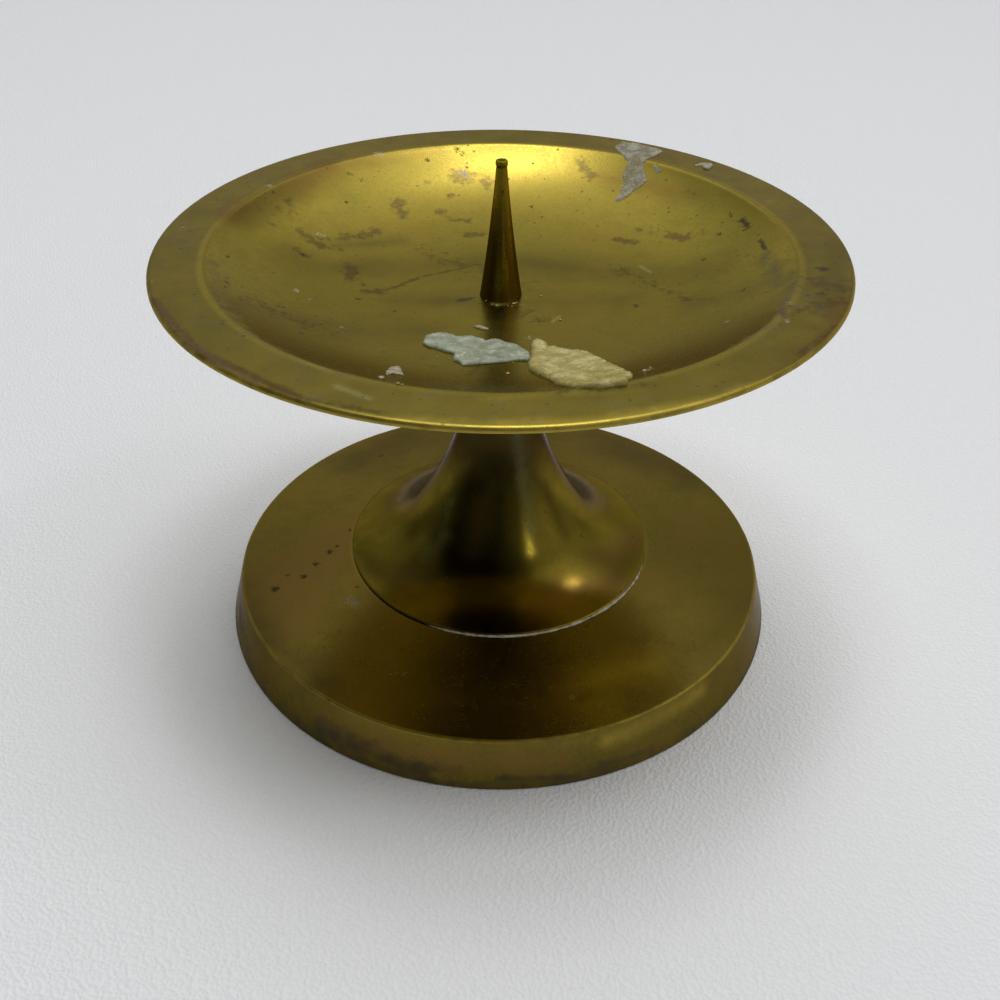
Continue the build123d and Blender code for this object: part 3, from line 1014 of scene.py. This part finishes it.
blue_wax = wax("blue_wax", (0.38, 0.42, 0.29, 1), (0.60, 0.64, 0.50, 1), 0.40, 0.3, soot=0.15)
yellow_wax = wax("yellow_wax", (0.54, 0.46, 0.12, 1), (0.82, 0.75, 0.42, 1), 0.42, 0.3)
grey_wax = wax("grey_wax", (0.42, 0.41, 0.28, 1), (0.60, 0.58, 0.44, 1), 0.75, 0.5)
pale_wax = wax("pale_wax", (0.46, 0.42, 0.28, 1), (0.70, 0.65, 0.50, 1), 0.40, 0.3)
blue_flake_border = (
    (423, 344), (425, 335.5), (432, 334), (447, 334), (457, 337), (471, 336), (486, 341),
    (495, 339), (507, 343), (514, 344), (521, 348), (529, 352.5), (531, 358), (528, 361),
    (514, 361), (502, 363), (486, 364), (463, 366), (459, 363), (453, 360.5), (454, 354),
    (445, 352), (436, 349), (427, 347),
)
yellow_flake_border = (
    (531, 344), (536, 341), (546, 343), (549, 347), (557, 348), (566, 352), (579, 352.5),
    (589, 355), (602, 360.5), (612.5, 367), (623, 371), (632, 375), (632, 379), (627, 385),
    (614, 387), (598, 389), (582, 388), (568, 387), (557, 385), (548, 379), (537.5, 375),
    (529, 369.5), (528, 363), (530, 359), (531, 352),
)
rim_run_border = (
    (614, 147), (622, 142), (638, 144), (647, 146), (657, 148.5), (662, 150), (664, 152),
    (660, 154), (652, 158.5), (647, 161), (644, 164), (647, 176), (647, 181), (640, 188),
    (633, 192), (628, 196.5), (623.5, 201), (616, 202), (614, 201), (619, 193), (622, 182),
    (622.5, 174), (628, 163), (623.5, 158), (617, 152),
)
rim_chip_border = ((651, 166), (657, 165.5), (664, 169), (660, 173), (656, 175.5), (653, 171))
pale_chip_border = (
    (694, 166), (700, 163), (711, 164), (713, 166), (709, 170), (704, 169), (702, 166),
)
left_chip_border = (
    (386, 371), (391, 367.5), (397.5, 366.7), (401, 368.5), (404, 376), (400, 375),
    (393, 374), (386, 375),
)
left_bit_border = ((378, 377), (380, 376), (384, 376), (384.5, 378), (382, 379), (379, 378.5))
sliver_border = ((473, 327), (480, 325.5), (489, 328), (488, 330), (480, 329.5))
for name, border, thickness, crumple, seed, finish in (
    ("blue_flake", blue_flake_border, 0.0004, 0.3, 3, blue_wax),
    ("yellow_flake", yellow_flake_border, 0.0007, 0.4, 5, yellow_wax),
    ("rim_run", rim_run_border, 0.00022, 0.5, 7, grey_wax),
    ("rim_chip", rim_chip_border, 0.0002, 0.5, 11, grey_wax),
    ("pale_chip", pale_chip_border, 0.0003, 0.5, 13, pale_wax),
    ("left_chip", left_chip_border, 0.0003, 0.5, 17, pale_wax),
    ("left_bit", left_bit_border, 0.0002, 0.5, 18, pale_wax),
    ("sliver", sliver_border, 0.0003, 0.5, 19, pale_wax),
):
    wax_flake(name, border, thickness, crumple, seed).data.materials.append(finish)

# crumbs of wax round the foot of the spike and near the flakes: pixel and size
crumbs = (
    (492, 304.5, 0.0003), (497, 306, 0.0005), (500, 305.5, 0.0003), (508, 306, 0.00025),
    (514, 304, 0.0006), (517, 302.5, 0.0003), (486, 301, 0.0003), (529, 337, 0.0004),
    (512, 306.5, 0.0003), (526, 299, 0.0002), (541, 296, 0.00035), (479, 303, 0.0002),
    (513, 363, 0.0003), (508, 374, 0.0005), (437, 357, 0.0003), (449, 359, 0.0003),
    (398, 384, 0.0005), (402, 385, 0.0004), (363, 396, 0.0003), (644, 371, 0.0005),
    (650, 368, 0.0004), (560, 320, 0.0004), (183, 228, 0.0003), (296, 290, 0.0003),
)
crumb_depth = 0.8
crumb_height = 0.55
crumb_lumps = 0.7
crumb_lift = 0.2
build = bmesh.new()
for place_in_row, (x, y, size) in enumerate(crumbs):
    ground = sight((x, y), drip_dish)
    lump = bmesh.ops.create_icosphere(build, subdivisions=3, radius=size / 2)["verts"]
    for corner in lump:
        way = corner.co.normalized()
        lumps = noise.fractal(way * 1.3 + Vector((place_in_row * 7.1, 0, 0)), 1.0, 2.0, 3)
        squat = Vector((way.x, way.y * crumb_depth, way.z * crumb_height))
        corner.co = squat * (1 + crumb_lumps * lumps) * size / 2 + ground
        corner.co.z += size * crumb_lift
for face in build.faces:
    face.smooth = True
wax_crumbs = new_piece("wax_crumbs", build)
wax_crumbs.data.materials.append(yellow_wax)
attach(wax_crumbs, "root")

# Rod and fasteners
# The steel parts that clamp the stand together, seen only from below: a length of threaded rod,
# a wide flat washer, a split spring washer and a hexagon nut, all zinc plated and gone dull. The
# washers and the nut keep the shapes of their solids.
rod_low, rod_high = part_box("tie_rod")
rod_radius = rod_high.x
thread_pitch = 0.0007
thread_height = 0.00043
thread_crest = 0.125
thread_flank = 0.625
rod_chamfer = 0.0004
sides_per_turn = 40
rings_per_pitch = 6
ring_count = round((rod_high.z - rod_low.z) / thread_pitch * rings_per_pitch)
build = bmesh.new()
rings = []
for i in range(ring_count + 1):
    height = (rod_high.z - rod_low.z) * i / ring_count
    to_end = min(height, rod_high.z - rod_low.z - height)
    ring = []
    for k in range(sides_per_turn):
        turn = k / sides_per_turn
        groove = abs((height / thread_pitch - turn) % 1 * 2 - 1)
        depth = min(1, max(0, (groove - thread_crest) / thread_flank))
        radius = rod_radius - thread_height * depth
        radius = min(radius, rod_radius - rod_chamfer + to_end)
        angle = 2 * math.pi * turn
        ring.append(
            build.verts.new((radius * math.cos(angle), radius * math.sin(angle), rod_low.z + height))
        )
    rings.append(ring)
for below_ring, above_ring in zip(rings, rings[1:]):
    for k in range(sides_per_turn):
        j = (k + 1) % sides_per_turn
        build.faces.new((below_ring[k], below_ring[j], above_ring[j], above_ring[k])).smooth = True
build.faces.new(rings[0][::-1])
build.faces.new(rings[-1])
threaded_rod = new_piece("threaded_rod", build)
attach(threaded_rod, "root")
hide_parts("tie_rod")

dull_zinc, tree, surface = new_material("dull_zinc")
tarnish = used(tree, clouds, Scale=350, Low=0.35, High=0.7, Seed=5.0)[0]
rust = used(tree, pits, Scale=900, Size=0.45, Share=0.15)[0]
colour = coat(tree, tarnish, (0.50, 0.50, 0.49, 1), (0.27, 0.27, 0.25, 1))
colour = coat(tree, product(tree, rust, 0.7), colour, (0.16, 0.075, 0.03, 1))
height = weighed(tree, (tarnish, 0.5), (rust, 1.0))
supply(tree, surface, {
    "Base Color": colour,
    "Metallic": 0.9,
    "Roughness": weighed(tree, (0.32, 1.0), (tarnish, 0.2), (rust, 0.3)),
    "Normal": dent(tree, height, 0.5, 0.00003),
})
threaded_rod.data.materials.append(dull_zinc)
for fastener in ("flat_washer", "spring_washer", "hex_nut"):
    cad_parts[fastener].material_slots[0].material = dull_zinc

# Table
# The top of the table that the stand is on: a pale sheet with a fine grain like that of leather,
# much wider than the stand.
table_reach = 6.0
table_colour = (0.95, 0.96, 0.98, 1)
table_mesh = bpy.data.meshes.new("table_top")
table_mesh.from_pydata(
    [(x * table_reach, y * table_reach, 0) for x, y in ((-1, -1), (1, -1), (1, 1), (-1, 1))],
    [],
    [(0, 1, 2, 3)],
)
table_top = in_scene("table_top", table_mesh)
table_finish, tree, surface = new_material("table_finish")
bent = node(
    tree, "ShaderNodeTexNoise", {"Vector": on_object(tree), "Scale": 500.0, "Detail": 1.0}
)
bent_place = node(
    tree,
    "ShaderNodeVectorMath",
    {0: bent.outputs["Color"], 1: (0.0012, 0.0012, 0.0), 2: on_object(tree)},
    operation="MULTIPLY_ADD",
)
grain = node(
    tree,
    "ShaderNodeTexVoronoi",
    {"Vector": bent_place.outputs[0], "Scale": 1300.0},
    voronoi_dimensions="2D",
)
supply(tree, surface, {
    "Base Color": table_colour,
    "Roughness": 0.55,
    "Normal": dent(tree, grain.outputs["Distance"], 1.0, 0.00015),
})
table_mesh.materials.append(table_finish)

# Light
# Three strong soft lamps almost overhead, and three weaker ones: high behind, on the right, and
# in front on the right. The room is dim, with soft patches that are brightest high behind the
# stand and high on its right.


def heading(azimuth, elevation):
    """A direction from the stand. Azimuth 0 is straight behind it and 90 is to the right."""
    azimuth, elevation = math.radians(azimuth), math.radians(elevation)
    return Vector(
        (
            math.sin(azimuth) * math.cos(elevation),
            math.cos(azimuth) * math.cos(elevation),
            math.sin(elevation),
        )
    )


# each lamp: azimuth, elevation, width, depth, power
lamp_distance = 1.8
for name, azimuth, elevation, width, depth, power in (
    ("overhead_lamp", -8, 77, 0.40, 0.32, 2.85),
    ("ceiling_lamp", 10, 68, 0.30, 0.30, 0.50),
    ("right_lamp", 90, 80, 0.40, 0.40, 3.80),
    ("left_lamp", -90, 80, 0.40, 0.40, 3.05),
    ("side_lamp", 139, 30, 0.12, 0.18, 0.64),
    ("window_lamp", 86, 53, 0.26, 0.16, 0.95),
):
    lamp = in_scene(name, bpy.data.lights.new(name, "AREA"))
    lamp.data.shape = "RECTANGLE"
    lamp.data.size = width
    lamp.data.size_y = depth
    lamp.data.energy = power
    way = heading(azimuth, elevation)
    lamp.location = way * lamp_distance
    lamp.rotation_euler = way.to_track_quat("Z", "Y").to_euler()

room = bpy.data.worlds.new("room")
bpy.context.scene.world = room
room.use_nodes = True
tree = room.node_tree
way = node(tree, "ShaderNodeTexCoord").outputs["Generated"]

# the soft patches of the room: azimuth, elevation, strength
patches = (
    (-90, 10, 0.05), (-60, 10, 0.11), (-30, 10, 0.38), (0, 10, 0.25), (30, 10, 0.42),
    (60, 10, 0.24), (90, 10, 0.12), (120, 10, 0.22), (150, 10, 0.06), (180, 12, 0.05),
    (-150, 12, 0.06), (-72, 36, 0.14), (-36, 36, 0.10), (0, 36, 0.14), (72, 36, 0.16),
    (108, 36, 0.22), (144, 36, 0.06), (0, 59, 0.75), (45, 59, 0.18), (90, 59, 0.60), (0, 81, 0.43),
)
light = 0.015
for azimuth, elevation, strength in patches:
    turned_to = node(
        tree, "ShaderNodeVectorMath", {0: way, 1: heading(azimuth, elevation)}, operation="DOT_PRODUCT"
    )
    patch = eased(tree, turned_to.outputs["Value"], 0.84, 1.0)
    light = reckon(tree, "MULTIPLY_ADD", patch, strength, light)
tree.links.new(light, tree.nodes["Background"].inputs["Strength"])
tree.nodes["Background"].inputs["Color"].default_value = (1.0, 1.0, 1.0, 1)
